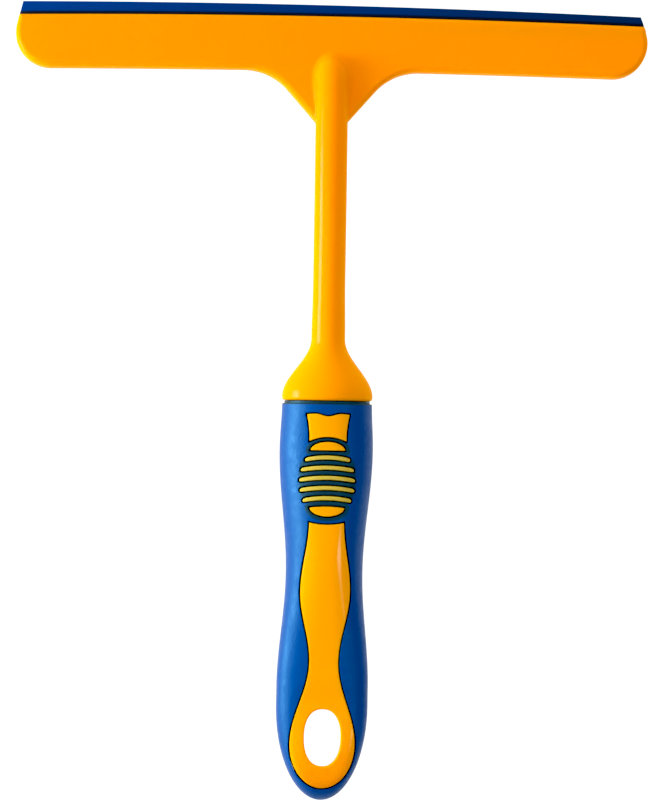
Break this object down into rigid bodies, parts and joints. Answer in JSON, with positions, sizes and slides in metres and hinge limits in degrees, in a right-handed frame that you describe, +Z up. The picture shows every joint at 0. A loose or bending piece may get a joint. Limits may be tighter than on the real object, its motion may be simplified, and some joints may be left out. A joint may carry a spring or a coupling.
{
  "type": "window squeegee",
  "caption": "Hand squeegee with a leaning blade holder, a slide-in rubber blade, a round neck and a contoured two-colour grip with a thumb pad and a hanging eye.",
  "frame": {"origin": "under the middle of the tool's bounding box, on the surface that it lies on", "axes": "+X along the blade, +Y from the handle's butt to the blade, +Z up through the side with the thumb pad"},
  "size_m": [0.25, 0.314, 0.0278],
  "materials": {
    "orange_plastic": "glossy moulded polypropylene",
    "core_plastic": "satin moulded polypropylene",
    "grip_rubber": "fine-grained matte soft plastic",
    "blade_rubber": "satin rubber"
  },
  "bodies": {
    "tool": {"blade_holder": "orange_plastic", "handle_core": "core_plastic", "soft_grip": "grip_rubber"},
    "blade": {"rubber_blade": "blade_rubber"}
  },
  "joints": [
    {"name": "blade_slide", "type": "slide", "parent": "tool", "child": "blade", "axis": [1, 0, 0], "range_m": [-0.25, 0.25]}
  ]
}
